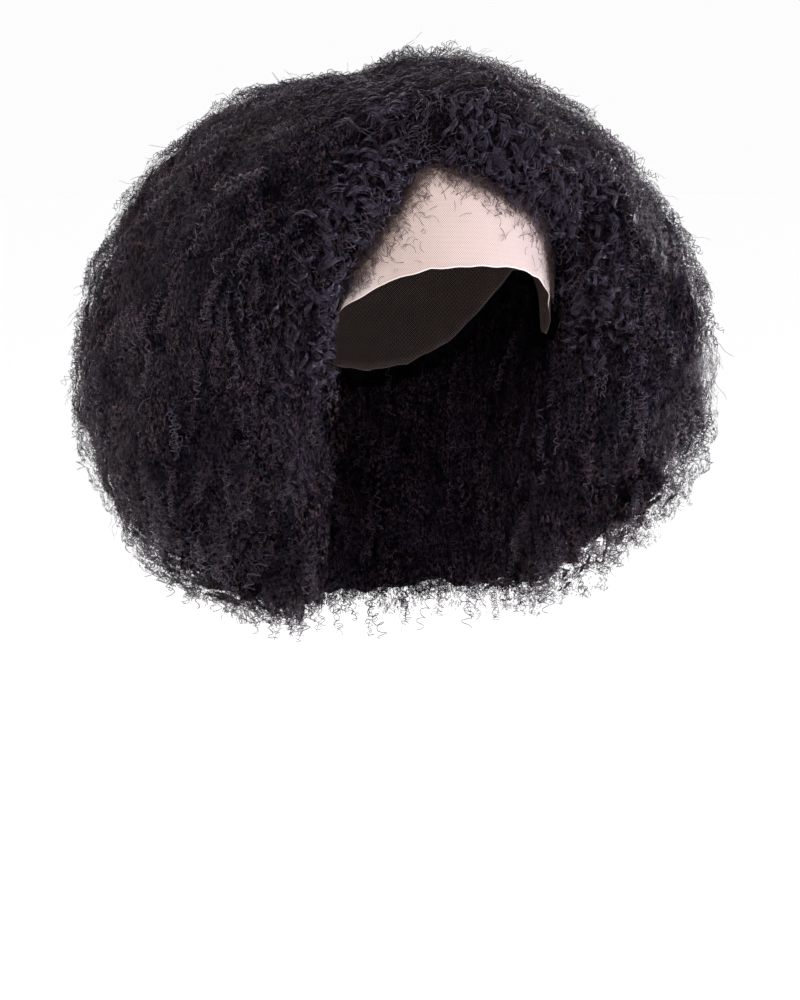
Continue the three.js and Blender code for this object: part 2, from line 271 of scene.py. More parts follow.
def copy_of_solids(nodes, name):
    """The solids of some nodes copied and joined as one welded object."""
    bpy.ops.object.select_all(action="DESELECT")
    for node in nodes:
        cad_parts[node].select_set(True)
    bpy.context.view_layer.objects.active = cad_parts[nodes[0]]
    bpy.ops.object.duplicate()
    bpy.ops.object.join()
    piece = bpy.context.object
    piece.parent = None
    piece.name = name
    for key in list(piece.keys()):
        if key.startswith("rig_"):
            del piece[key]
    bpy.ops.object.mode_set(mode="EDIT")
    bpy.ops.mesh.select_all(action="SELECT")
    bpy.ops.mesh.remove_doubles(threshold=FORM_WELD)
    bpy.ops.object.mode_set(mode="OBJECT")
    piece.data.materials.clear()
    return piece


def keep_largest(name):
    """Deletes the crumbs that remeshing leaves beside a body, and names the body."""
    bpy.ops.object.mode_set(mode="EDIT")
    bpy.ops.mesh.separate(type="LOOSE")
    bpy.ops.object.mode_set(mode="OBJECT")
    bodies = sorted(bpy.context.selected_objects, key=lambda body: -len(body.data.vertices))
    for crumb in bodies[1:]:
        bpy.data.objects.remove(crumb)
    bodies[0].name = name
    return bodies[0]


hair_mass = copy_of_solids(HAIR_NODES, "hair_mass")
apply_modifier(hair_mass, "REMESH", mode="VOXEL", voxel_size=FORM_VOXEL)
hair_mass = keep_largest("hair_mass")
apply_modifier(hair_mass, "SMOOTH", factor=0.5, iterations=FORM_SMOOTHING)
print("hair form:", len(hair_mass.data.polygons), "faces")

# %% [markdown]
# ## Looking things up on a surface
# Where a curl starts, which way the hair faces there and how thick it is are read from meshes.
# A tree of their triangles finds the nearest one fast. All that is random comes from one seeded
# source, so that every run gives the same wig.

# %% Looking things up on a surface
SEED = 7
SHORTEST = 1e-12
JUST_INSIDE = 1e-4
FAR_ACROSS = 1.0

rng = np.random.default_rng(SEED)


def unit(vectors):
    """Vectors made one long."""
    length = np.linalg.norm(vectors, axis=-1, keepdims=True)
    return vectors / np.maximum(length, SHORTEST)


def dot(first, second):
    """Dot products, kept as a last axis of one."""
    return (first * second).sum(-1, keepdims=True)


def smoothstep(values, low, high):
    """Values brought from 0 at the low one to 1 at the high one, without corners."""
    share = np.clip((values - low) / (high - low), 0, 1)
    return share * share * (3 - 2 * share)


class Surface:
    """The triangles of a mesh, to strew points on and to find the nearest point of."""

    def __init__(self, mesh):
        mesh.calc_loop_triangles()
        places = np.zeros(len(mesh.vertices) * 3, np.float32)
        mesh.vertices.foreach_get("co", places)
        ends = np.zeros(len(mesh.loop_triangles) * 3, np.int32)
        mesh.loop_triangles.foreach_get("vertices", ends)
        self.places = places.reshape(-1, 3).astype(float)
        self.ends = ends.reshape(-1, 3)
        corners = self.places[self.ends]
        flat = np.cross(corners[:, 1] - corners[:, 0], corners[:, 2] - corners[:, 0])
        self.areas = np.linalg.norm(flat, axis=1) / 2
        normals = np.zeros_like(self.places)
        for corner in range(3):
            np.add.at(normals, self.ends[:, corner], flat)
        self.normals = unit(unit(normals)[self.ends].mean(1))
        self.tree = BVHTree.FromPolygons(self.places.tolist(), self.ends.tolist())

    def strew(self, count):
        """Points strewn evenly over the triangles, with the normals there."""
        chosen = rng.choice(len(self.ends), count, p=self.areas / self.areas.sum())
        first, second = rng.random((2, count, 1))
        past = first + second > 1
        first = np.where(past, 1 - first, first)
        second = np.where(past, 1 - second, second)
        corners = self.places[self.ends[chosen]]
        points = (
            corners[:, 0]
            + first * (corners[:, 1] - corners[:, 0])
            + second * (corners[:, 2] - corners[:, 0])
        )
        return points, self.normals[chosen]

    def nearest(self, points):
        """The nearest places on the surface, their normals and how far they are."""
        found = [self.tree.find_nearest(Vector(point)) for point in points]
        places = np.array([place for place, _, _, _ in found])
        faces = np.array([face for _, _, face, _ in found])
        return places, self.normals[faces], np.array([gap for _, _, _, gap in found])

    def thickness(self, points, normals):
        """How far it is from places on the surface to the surface across from them."""
        found = [
            self.tree.ray_cast(Vector(point - normal * JUST_INSIDE), Vector(-normal))[3]
            for point, normal in zip(points, normals)
        ]
        return np.array([FAR_ACROSS if far is None else far for far in found])


lace_front = Surface(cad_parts["lace_front"].data)
lace_back = Surface(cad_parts["lace_back"].data)
solids = {node: Surface(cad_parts[node].data) for node in HAIR_NODES}
print(len(solids), "hair solids to look things up on")

# %% [markdown]
# ## Places on the wig
# How hair lies depends on where it grows: it is flat along the part and by the bare lace, and
# loose at the lower ends. A few functions tell how near points are to each of these.

# %% Places
HEAD_CENTRE = np.array([0.0, 0.0, -0.1])
PART_FRONT = (-0.023, -0.075)
PART_BACK = (-0.038, 0.045)
PART_FADE = 0.06
PART_FAR = 0.06
TOP_HEIGHTS = (-0.13, -0.02)
ENDS_HEIGHTS = (-0.3, -0.17)
BARE_TRIES = 3000
BARE_GAP = 0.004
BARE_FRONT = -0.05

bare, _ = lace_front.strew(BARE_TRIES)
bare_gap = np.min([solid.nearest(bare)[2] for solid in solids.values()], axis=0)
bare = bare[(bare_gap > BARE_GAP) & (bare[:, 1] < BARE_FRONT)]


def from_bare_lace(points):
    """How far points are from the lace that has no hair on it."""
    return np.array([np.linalg.norm(bare - point, axis=1).min() for point in points])


def on_top(points):
    """How far up the head points are, from 0 at the sides to 1 on top."""
    return smoothstep(points[..., 2], *TOP_HEIGHTS)


def aside_of_part(points):
    """How far points lie to the wearer's left of the part, and how much part there is."""
    share = (points[..., 1] - PART_FRONT[1]) / (PART_BACK[1] - PART_FRONT[1])
    line = PART_FRONT[0] + np.clip(share, 0, 1) * (PART_BACK[0] - PART_FRONT[0])
    fade = np.clip(1 - (points[..., 1] - PART_BACK[1]) / PART_FADE, 0, 1)
    return points[..., 0] - line, fade * on_top(points)


def from_part(points):
    """How far points are from the part, sideways."""
    aside, part = aside_of_part(points)
    return np.abs(aside) + (1 - part) * PART_FAR


def looseness(points):
    """How loose hair is by its height, from 0 up to 1 at the lower ends."""
    return 1 - smoothstep(points[..., 2], *ENDS_HEIGHTS)


print(len(bare), "places on bare lace")

# %% [markdown]
# ## The valley of the part
# The solids have a shallow valley along the part. Combed hair lies flatter still where the part
# runs out towards the crown, so the form is pressed down there before anything is laid on it.

# %% Valley of the part
PRESS_AT = np.array([-0.035, 0.016])
PRESS_DEPTH = 0.0105
PRESS_WIDTH = 0.021
PRESS_LENGTH = 0.05
PRESS_ABOVE = -0.01

smooth_form = Surface(hair_mass.data)
offset = smooth_form.places[:, :2] - PRESS_AT
share = np.exp(-((offset[:, 0] / PRESS_WIDTH) ** 2) - (offset[:, 1] / PRESS_LENGTH) ** 2)
smooth_form.places[:, 2] -= PRESS_DEPTH * share * (smooth_form.places[:, 2] > PRESS_ABOVE)
hair_mass.data.vertices.foreach_set("co", smooth_form.places.ravel())
hair_mass.data.update()
form = Surface(hair_mass.data)
print("hair form:", round(form.areas.sum(), 3), "square metres")

# %% [markdown]
# ## The dark mass under the curls
# Between the curls one looks into hair, not through it. The mass is the smooth form drawn in
# under the curls, further at the loose lower ends where light comes through and hardly at all
# by the part and the bare lace. It is roughened so that its outline is never smooth, and its
# lower end is lifted so that only curls reach down to the hem.

# %% Hair mass
SINK_TOP = 0.006
SINK_SIDE = 0.011
SINK_ENDS = 0.02
SINK_OPEN = 0.042
SINK_LEAST = 0.15
SINK_SHARE = 0.38
SINK_SPARE = 0.06
SIDE_HEIGHTS = (-0.12, -0.02)
BY_LINES = (0.004, 0.03)
OPEN_SIDE = (0.05, 0.12)
MASS_END = 0.035
OPEN_END = 0.07
MASS_LIFT = 0.75
MASS_ROUGH = 0.45
HEM_ROUGH = 0.008
LUMP_SIZE = 0.009


def openness(points):
    """How much light comes through the ends: they are sparse on the wearer's left."""
    return smoothstep(points[..., 0], *OPEN_SIDE)


def depth_of_mass(points):
    """How deep the mass lies under the form."""
    side = 1 - smoothstep(points[..., 2], *SIDE_HEIGHTS)
    ends = SINK_ENDS + (SINK_OPEN - SINK_ENDS) * openness(points)
    depth = SINK_TOP + (SINK_SIDE - SINK_TOP) * side + (ends - SINK_SIDE) * looseness(points)
    near = np.minimum(from_bare_lace(points), from_part(points))
    return depth * (SINK_LEAST + (1 - SINK_LEAST) * smoothstep(near, *BY_LINES))


def noise_at(points, size, shift=0):
    """A smooth noise about zero at points, with lumps of some size."""
    aside = Vector((shift, 0, 0))
    return np.array([noise.noise(Vector(point / size) + aside) for point in points])


vertex_normals = np.zeros(len(form.places) * 3, np.float32)
hair_mass.data.vertices.foreach_get("normal", vertex_normals)
out = vertex_normals.reshape(-1, 3).astype(float)
thick = form.thickness(form.places, out)
through = openness(form.places)
depth = np.minimum(depth_of_mass(form.places), thick * (SINK_SHARE + SINK_SPARE * through))
lumps = noise_at(form.places, LUMP_SIZE)
moved = form.places + out * (depth * (lumps * MASS_ROUGH - 1))[:, None]
end_height = cad_box[0].z + MASS_END + OPEN_END * through + HEM_ROUGH * lumps
moved[:, 2] += np.maximum(end_height - moved[:, 2], 0) * MASS_LIFT
hair_mass.data.vertices.foreach_set("co", moved.ravel())
hair_mass.data.update()
select_only(hair_mass)
bpy.ops.object.shade_smooth()
print("hair mass:", len(hair_mass.data.polygons), "faces")

# %% [markdown]
# ## Finish of the mass
# Deep between the curls the hair is nearly black, and short pale kinks break it up: kinked
# hairs whose paleness is a painted glint. The lines of equal height on a noise are curved and
# close into loops, as kinks do, so two such sets of lines are drawn, stretched down the way that
# hair hangs, broken up by a finer noise and dimmed in broad patches.

# %% Finish of the mass
MASS_BLACK = (0.0012, 0.0009, 0.002)
# Colour of the pale kinks: a painted glint on the hair.
MASS_GLINT_GREY = (0.011, 0.008, 0.02)
KINK_LINES = [  # scale of the noise, how bent it is, lines in its height, where a line fades
    (430, 1, 40, 0.1),
    (580, 1.5, 36, 0.2),
]
BREAK_SCALE = 700
CLUMP_SCALE = 150
PATCH_SCALE = 70
PATCH_LEAST = 0.25
HANGING = (1, 1, 0.5)
COLUMNS = (1, 1, 0.25)


def kink_pattern(wire):
    """How much a place is on a kinked hair, how much painted glint it keeps and how clumped."""
    place = wire.node("ShaderNodeTexCoord", {}, {}, output="Object")
    hanging = wire.node("ShaderNodeMapping", {}, {"Vector": place, "Scale": HANGING})
    columns = wire.node("ShaderNodeMapping", {}, {"Vector": place, "Scale": COLUMNS})

    def waves(vector, scale, bent):
        sockets = {"Vector": vector, "Scale": scale, "Detail": 1, "Distortion": bent}
        return wire.node("ShaderNodeTexNoise", {}, sockets)

    wide, fine = [
        (waves(hanging, scale, bent) * lines).cosine().smooth(fade, 1)
        for scale, bent, lines, fade in KINK_LINES
    ]
    broken = waves(hanging, BREAK_SCALE, 0).smooth(0.36, 0.62)
    patches = waves(columns, PATCH_SCALE, 0.5).smooth(0.3, 0.65)
    clumps = waves(hanging, CLUMP_SCALE, 0.5).smooth(0.35, 0.65)
    return wide.larger(fine) * broken, PATCH_LEAST + patches * (1 - PATCH_LEAST), clumps


def dress(piece, finish):
    """Gives a piece its finish, and lets it move with the wig."""
    piece.data.materials.append(finish)
    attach(piece, "root")


mass_finish, wire = new_finish("hair_mass_black")
kinks, patches, _ = kink_pattern(wire)
bump = wire.node("ShaderNodeBump", {}, {"Strength": 1, "Distance": 0.001, "Height": kinks})
# The pale kinks are coloured with a painted glint, dimmed in broad patches.
surface(wire, {
    "Base Color": blend_colours(kinks * patches, MASS_BLACK, MASS_GLINT_GREY),
    "Roughness": 0.7,
    "Specular IOR Level": 0.03,
    "Normal": bump,
})
dress(hair_mass, mass_finish)
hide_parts(*HAIR_NODES)
print("finish", mass_finish.name, "with", len(mass_finish.node_tree.nodes), "nodes")

# %% [markdown]
# ## Frizz
# Between the mass and the outline there are more fine hairs than can be modelled one by one.
# Rough layers stand in for them, as in fur made of shells: each is a copy of the form of which
# only the kinks are left, fewer of them the further out it lies. The outer layers are broken
# into hanging wisps, and nothing is kept of them in between. A ray of light can cross only a
# few such layers before the renderer gives it up, so narrow locks and hems keep fewer of them.

# %% Frizz
FRIZZ_LAYERS = [  # depth as a share of the mass's, share that is hair, in wisps, lost at hems
    {"depth": 0.75, "cover": 0.86, "wisps": 0.0, "lost": 1.3},
    {"depth": 0.45, "cover": 0.68, "wisps": 0.3, "lost": 0.0},
    {"depth": 0.15, "cover": 0.52, "wisps": 0.8, "lost": 0.25},
    {"depth": -0.15, "cover": 0.36, "wisps": 1.2, "lost": 0.0},
]
FRIZZ_ROUGH = 0.35
FRIZZ_ENDS = 0.06
FRIZZ_OPEN = -0.14
FRIZZ_THIN = -1.2
THIN_LOCK = (0.01, 0.03)
FRIZZ_UNDER = -2
UNDERSIDE = (0.4, 0.8)
HEM = (0.012, 0.03)
OPEN_HEM = (0.055, 0.1)
WISP_SIZE = np.array([0.008, 0.008, 0.02])
WISP_PROUD = 0.003
WISP_MOST = 0.08
NO_FRIZZ = -0.25
FIRST_SHIFT = 5
LAYER_SHIFT = 10
FACES_HEAD = -0.2
CAP_GAP = 0.012
CAP_CLEAR = 0.001


def faces_head(points, normals):
    """Which points of the form look inwards to the head."""
    return dot(normals, unit(points - HEAD_CENTRE))[:, 0] < FACES_HEAD


def against_cap(points, normals):
    """Which points of the form face the head and lie against the cap."""
    gap = np.minimum(lace_front.nearest(points)[2], lace_back.nearest(points)[2])
    return faces_head(points, normals) & (gap < CAP_GAP)


def new_piece(name, mesh):
    """A new object with a mesh, the only one selected."""
    piece = bpy.data.objects.new(name, mesh)
    bpy.context.scene.collection.objects.link(piece)
    select_only(piece)
    return piece


hidden = against_cap(form.places, out)
shown = form.ends[~hidden[form.ends].all(axis=1)]
height = form.places[:, 2] - cad_box[0].z
hanging = looseness(form.places)
hem = 1 - smoothstep(height, *HEM)
ends = FRIZZ_ENDS * hanging * (1 - through)
sparse = FRIZZ_OPEN * hanging * through
sparse += FRIZZ_THIN * hanging * (1 - smoothstep(thick, *THIN_LOCK))
sparse += FRIZZ_UNDER * hem * smoothstep(-out[:, 2], *UNDERSIDE)
hem = np.maximum(hem, (1 - smoothstep(height, *OPEN_HEM)) * through)
layers = []
covers = []
faces = []
for number, row in enumerate(FRIZZ_LAYERS):
    shift = LAYER_SHIFT * number + FIRST_SHIFT
    lumps = noise_at(form.places, LUMP_SIZE, shift)
    wisps = noise_at(form.places, WISP_SIZE, shift)
    raised = depth * (lumps * FRIZZ_ROUGH - row["depth"])
    raised += row["wisps"] * wisps * np.minimum(WISP_PROUD, depth)
    raised = np.where(hidden, np.minimum(raised, -CAP_CLEAR), raised)
    layers.append(form.places + out * raised[:, None])
    cover = row["cover"] + ends * (1 - row["depth"])
    cover += row["wisps"] * np.minimum(wisps, WISP_MOST)
    cover += sparse - row["lost"] * hem
    covers.append(cover)
    faces.append(shown[(cover[shown] > NO_FRIZZ).any(axis=1)] + number * len(out))
mesh = bpy.data.meshes.new("hair_frizz")
mesh.from_pydata(np.concatenate(layers).tolist(), [], np.concatenate(faces).tolist())
cover = mesh.attributes.new("cover", "FLOAT", "POINT")
cover.data.foreach_set("value", np.concatenate(covers).astype(np.float32))
hair_frizz = new_piece("hair_frizz", mesh)
bpy.ops.object.mode_set(mode="EDIT")
bpy.ops.mesh.select_all(action="SELECT")
bpy.ops.mesh.delete_loose()
bpy.ops.object.mode_set(mode="OBJECT")
bpy.ops.object.shade_smooth()
print("hair frizz:", len(hair_frizz.data.polygons), "faces")

# %% [markdown]
# ## Finish of the frizz
# The kinks of the mass are drawn on the layers too, and what isn't kink is see-through. The
# share of hair that each layer keeps decides how wide a kink is. The crests of the kinks are
# given a painted glint, and on sparse frizz that painted light is browner, as light comes
# through it.

# %% Finish of the frizz
FRIZZ_BLACK = (0.0008, 0.0006, 0.0014)
# Painted glint on the crests of the kinks.
FRIZZ_GLINT_GREY = (0.0135, 0.01, 0.0245)
# Brown painted where the frizz is sparse, for light coming through it.
FRIZZ_BACKLIT_BROWN = (0.06, 0.0345, 0.037)
FRIZZ_CLUMPS = 0.5
FRIZZ_SOFT = 0.15
BACKLIT_COVER = (0.2, 0.7)
KINK_CREST = 0.68

frizz_finish, wire = new_finish("hair_frizz_black")
kinks, patches, clumps = kink_pattern(wire)
cover = wire.node("ShaderNodeAttribute", {"attribute_name": "cover"}, {}, output="Fac")
# Painted light on the kink crests: brown where the frizz is sparse, a grey glint where it is dense.
painted_light = blend_colours(cover.smooth(*BACKLIT_COVER), FRIZZ_BACKLIT_BROWN, FRIZZ_GLINT_GREY)
bump = wire.node("ShaderNodeBump", {}, {"Strength": 0.6, "Distance": 0.001, "Height": kinks})
surface(wire, {
    "Base Color": blend_colours(kinks.smooth(KINK_CREST, 1) * patches, FRIZZ_BLACK, painted_light),
    "Roughness": 0.5,
    "Specular IOR Level": 0.04,
    "Alpha": (kinks + cover + (clumps - 0.5) * FRIZZ_CLUMPS - 1).smooth(0, FRIZZ_SOFT),
    "Normal": bump,
})
dress(hair_frizz, frizz_finish)
print("finish", frizz_finish.name, "with", len(frizz_finish.node_tree.nodes), "nodes")

# %% [markdown]
# ## The way the hair runs
# Hair leaves the part to both sides and then falls. On each spot the way it runs is the pull of
# its weight and of the comb, kept flat on the form. Above the face it is brushed back, so that
# the curls run along the hairline and not over the forehead. Under the form it hangs free.

# %% Flow of the hair
COMB_PULL = 1.3
COMB_WIDTH = 0.008
BRUSH_BACK = 0.9
UNDER = -0.55
HANG_SHARE = 0.5
BACK_SHARE = 0.5
BACK_STEPS = 4
SOME_PART = 0.1
DOWN = np.array([0, 0, -1.0])


def flow_at(points, normals):
    """The way hair runs at points on the form, as unit vectors flat on it."""
    aside, part = aside_of_part(points)
    pull = np.zeros_like(points)
    pull[..., 0] = COMB_PULL * part * np.tanh(aside / COMB_WIDTH)
    pull[..., 1] = BRUSH_BACK * on_top(points) * np.clip(-normals[..., 1], 0, 1)
    pull[..., 2] = -1
    under = normals[..., 2:] < UNDER
    return np.where(under, DOWN, unit(pull - normals * dot(pull, normals)))


def slide(points, normals, moves):
    """Points moved on over the form, which hang free once they are under it."""
    under = normals[..., 2:] < UNDER
    places, faced, _ = form.nearest(points + moves)
    hung = points + moves * HANG_SHARE
    return np.where(under, hung, places), np.where(under, normals, faced)


def lay_paths(points, normals, length, steps, back_steps=BACK_STEPS):
    """Paths over the form that pass through the given points, and the normals along them."""
    aside, part = aside_of_part(points)
    room = np.where(part > SOME_PART, np.abs(aside), length)
    back = (np.minimum(length * BACK_SHARE, room) / back_steps)[:, None]
    for _ in range(back_steps):
        points, normals = slide(points, normals, -flow_at(points, normals) * back)
    path = [points]
    faced = [normals]
    step = (length / steps)[:, None]
    for _ in range(steps):
        moves = flow_at(path[-1], faced[-1]) * step
        points, normals = slide(path[-1], faced[-1], moves)
        path.append(points)
        faced.append(normals)
    return np.stack(path, axis=1), np.stack(faced, axis=1)


crown = np.zeros((1, 3))
print("on the crown hair runs towards", flow_at(crown, -DOWN[None, :])[0].round(2))

# %% [markdown]
# ## Curls as tubes
# A curl is a thin tube wound round its own path. Thousands of them are one joined mesh, made
# from arrays: a path gets a helix with uneven turns, and each point of the helix a ring of
# three corners. Every tube is closed at both ends. A UV map keeps a tone for each strand and
# the way along it, for the finish to read.

# %% Helices
UNEVEN_TURN = 0.2
ROOT_SHARE = 0.12
ROOT_WIDTH = 0.2
WIDTH_CHANGE = (-0.3, 0.25)


def resample(path, count):
    """Paths of few points made into paths of many, by a curve through the points."""
    spans = path.shape[1] - 1
    at = np.linspace(0, spans, count)
    start = np.minimum(at.astype(int), spans - 1)
    t = (at - start)[None, :, None]
    before, first, second, after = (
        path[:, np.clip(start + shift, 0, spans)] for shift in (-1, 0, 1, 2)
    )
    return 0.5 * (
        2 * first
        + (second - before) * t
        + (2 * before - 5 * first + 4 * second - after) * t**2
        + (3 * first - before - 3 * second + after) * t**3
    )


def wind(path, normals, curl, turn, count, wobble=1, start=None, hand=None):
    """Helices round some paths, and the way outwards at each point of them."""
    strands = len(path)
    if start is None:
        start = rng.uniform(0, 2 * np.pi, strands)
        hand = rng.choice([-1, 1], strands)
    centre = resample(path, count)
    along = unit(np.gradient(centre, axis=1))
    side = unit(np.cross(along, resample(normals, count)))
    outwards = np.cross(side, along)
    lengths = np.linalg.norm(np.diff(path, axis=1), axis=2).sum(1)
    share = np.linspace(0, 1, count)[None, :]
    uneven = np.cumsum(rng.normal(0, UNEVEN_TURN * wobble, (strands, count)), axis=1)
    angle = start[:, None] + (hand * 2 * np.pi * lengths / turn)[:, None] * share + uneven
    grown = np.clip(share / ROOT_SHARE, ROOT_WIDTH, 1)
    change = 1 + wobble * rng.uniform(*WIDTH_CHANGE, (strands, count))
    width = curl[:, None] * grown * change
    across = outwards * np.cos(angle)[..., None] + side * np.sin(angle)[..., None]
    return centre + across * width[..., None], across


print("a helix starts at", ROOT_WIDTH, "of its width")

# %% Tubes
SIDES = 3
TONE_WIDTH = 0.02


def tube_mesh(name, points, across, radius, tone):
    """One mesh of closed tubes along strands of points, with a map of tone and length."""
    strands, count = points.shape[:2]
    along = unit(np.gradient(points, axis=1))
    side = unit(np.cross(along, across))
    outwards = np.cross(side, along)
    angles = np.arange(SIDES) * 2 * np.pi / SIDES
    rings = points[:, :, None] + radius[:, :, None, None] * (
        outwards[:, :, None] * np.cos(angles)[None, None, :, None]
        - side[:, :, None] * np.sin(angles)[None, None, :, None]
    )
    first = (np.arange(strands) * count * SIDES)[:, None, None]
    ring = (np.arange(count - 1) * SIDES)[None, :, None]
    corner = np.arange(SIDES)[None, None, :]
    low = first + ring + corner
    beside = first + ring + (corner + 1) % SIDES
    quads = np.stack([low, beside, beside + SIDES, low + SIDES], axis=-1).reshape(-1, 4)
    base = np.arange(strands)[:, None] * count * SIDES
    ends = np.arange(SIDES)[None, :]
    caps = np.concatenate([base + ends[:, ::-1], base + (count - 1) * SIDES + ends])
    loops = np.concatenate([quads.ravel(), caps.ravel()])
    starts = np.concatenate([
        np.arange(len(quads)) * 4, len(quads) * 4 + np.arange(len(caps)) * SIDES,
    ])
    mesh = bpy.data.meshes.new(name)
    mesh.vertices.add(strands * count * SIDES)
    mesh.vertices.foreach_set("co", rings.ravel())
    mesh.loops.add(len(loops))
    mesh.loops.foreach_set("vertex_index", loops.astype(np.int32))
    mesh.polygons.add(len(starts))
    mesh.polygons.foreach_set("loop_start", starts.astype(np.int32))
    mesh.polygons.foreach_set("use_smooth", np.ones(len(starts), bool))
    mesh.update(calc_edges=True)
    strand_of = loops // (count * SIDES)
    place = (loops // SIDES) % count / (count - 1)
    edge = (loops % SIDES) / SIDES * TONE_WIDTH
    layer = mesh.uv_layers.new(name="OFBake")
    both = np.stack([tone[strand_of] * (1 - TONE_WIDTH) + edge, place], axis=-1)
    layer.uv.foreach_set("vector", both.ravel().astype(np.float32))
    return mesh


def strand_piece(name, points, across, radius, tone, finish):
    """A piece of hair made of tubes along strands of points."""
    mesh = tube_mesh(name, points, across, radius, tone)
    dress(new_piece(name, mesh), finish)
    print(name, sum(len(face.vertices) - 2 for face in mesh.polygons), "triangles")


print("a tube has", SIDES, "sides")

# %% [markdown]
# ## Finish of the curls
# The hair is black with a brown tint on single strands, some strands browner than others.
# Towards the tips and on strands that stand proud, the brown is painted light that comes
# through the hair. Its gloss is soft. The strands' own map gives both: across it goes from
# black to brown hair, and along it from root to tip.

# %% Finish of the curls
CURL_TONES = [
    (0, (0.002, 0.0014, 0.0037)),
    (0.5, (0.0065, 0.0046, 0.0085)),
    (1, (0.036, 0.022, 0.02)),
]
FRINGE_TONES = [
    (0, (0.02, 0.013, 0.011)),
    (1, (0.11, 0.066, 0.046)),
]
CURL_GLOSS = (0.84, 0.72, 1, 1)
# How far the tips are pushed to brown: painted light coming through them.
TIP_BACKLIGHT = 0.2


def strand_finish(name, tones):
    """A glossy finish for strands, with the colours of their tones."""
    finish, wire = new_finish(name)
    strand_map = wire.node("ShaderNodeUVMap", {"uv_map": "OFBake"}, {})
    tone = wire.node("ShaderNodeSeparateXYZ", {}, {0: strand_map}, output="X")
    way = wire.node("ShaderNodeSeparateXYZ", {}, {0: strand_map}, output="Y")
    # Towards the tip the tone turns brown: painted light coming through the hair.
    brown = tone * (1 - TIP_BACKLIGHT) + way * TIP_BACKLIGHT
    surface(wire, {
        "Base Color": wire.node("ShaderNodeValToRGB", {"stops": tones}, {0: brown}),
        "Roughness": 0.3 + tone * 0.15,
        "Specular IOR Level": 0.54,
        "Specular Tint": CURL_GLOSS,
    })
    print("finish", name, "with", len(finish.node_tree.nodes), "nodes")
    return finish


curl_finish = strand_finish("curl_black", CURL_TONES)
fringe_finish = strand_finish("fringe_brown", FRINGE_TONES)

# %% [markdown]
# ## Curls on the form
# Seeds are strewn over the smooth form, so many to each square metre. From every seed a lock
# grows: two strands wound round one path, which cross like the links of a chain. It starts
# under the surface and its tip stands clear, which makes the soft, see-through outline. Near
# the part and the hairline the curls are larger and looser, and at the lower ends they fill the
# depth that the mass leaves free.

# %% Seeds of the curls
LOCKS = 1150
LOCK_TRIES = 6000
INNER_SHARE = 0.3
UPPER_SHARE = 0.75
LOOSE_REACH = 0.055
COMBED_REACH = 0.022
REACH_START = 0.3
TIP_RADIUS = 0.6
LIFT_POWER = 1.4


def outer_seeds(tries):
    """Places strewn over the form, without those that lie against the cap."""
    points, normals = form.strew(tries)
    shown = ~against_cap(points, normals)
    return points[shown], normals[shown], faces_head(points, normals)[shown]


def spread(limits, count):
    """Random values between two limits."""
    return rng.uniform(*limits, count)


def between(tight_limits, wide_limits, share):
    """Random values, each from one range or another by the share given for it."""
    tight = spread(tight_limits, len(share))
    wide = spread(wide_limits, len(share))
    return tight + (wide - tight) * share


def tapered(thickness, count):
    """Radii along strands that thin out towards their tips."""
    return np.linspace(1, TIP_RADIUS, count)[None, :] * thickness[:, None]


def lift(path, normals, low, high):
    """Paths raised over the form, from one height at the root to another at the tip."""
    share = np.linspace(0, 1, path.shape[1])[None, :] ** LIFT_POWER
    return path + normals * (low[:, None] + (high - low)[:, None] * share)[..., None]


seeds, seed_normals, inward = outer_seeds(LOCK_TRIES)
outer_share = UPPER_SHARE + (1 - UPPER_SHARE) * looseness(seeds)
wanted = np.where(inward, INNER_SHARE, outer_share)
kept = np.flatnonzero(rng.random(len(seeds)) < wanted)[:LOCKS]
seeds, seed_normals = seeds[kept], seed_normals[kept]
near = np.minimum(from_bare_lace(seeds), from_part(seeds))
loose = 1 - smoothstep(near, REACH_START * LOOSE_REACH, LOOSE_REACH)
combed = 1 - smoothstep(from_part(seeds), REACH_START * COMBED_REACH, COMBED_REACH)
print(len(seeds), "locks,", int((loose > 0.5).sum()), "loose,", int((combed > 0.5).sum()), "combed")

# %% Curls
LOCK_STRANDS = 2
STEPS = 8
CURL_POINTS = 31
CURL_LENGTHS = ((0.026, 0.036), (0.04, 0.056))  # tight curls, then loose ones
CURL_WIDTHS = ((0.0014, 0.0025), (0.0026, 0.0042))
CURL_TURNS = ((0.0042, 0.0062), (0.009, 0.013))
CURL_RADII = ((0.00024, 0.00036), (0.00034, 0.00046))
COMBED_WIDTH = 0.65
COMBED_RADIUS = 0.2
COMBED_DOWN = 0.001
SWAY = 0.0015
ROOT_DEPTH = (0, 0.7)
PROUD_SHARE = 0.5
PROUD = (0, 0.004)
PROUDER = 0.0015
PROUD_MOST = 0.009
LYING = (0, 0.005)
HANG_MOST = 0.014
HANG_SPREAD = 0.01
# How much browner strands that stand proud are painted, for light coming through them.
PROUD_BACKLIGHT = 70
TONE_SPREAD = 0.1
SPLIT_NODES = ("hair_crown", "hair_nape")

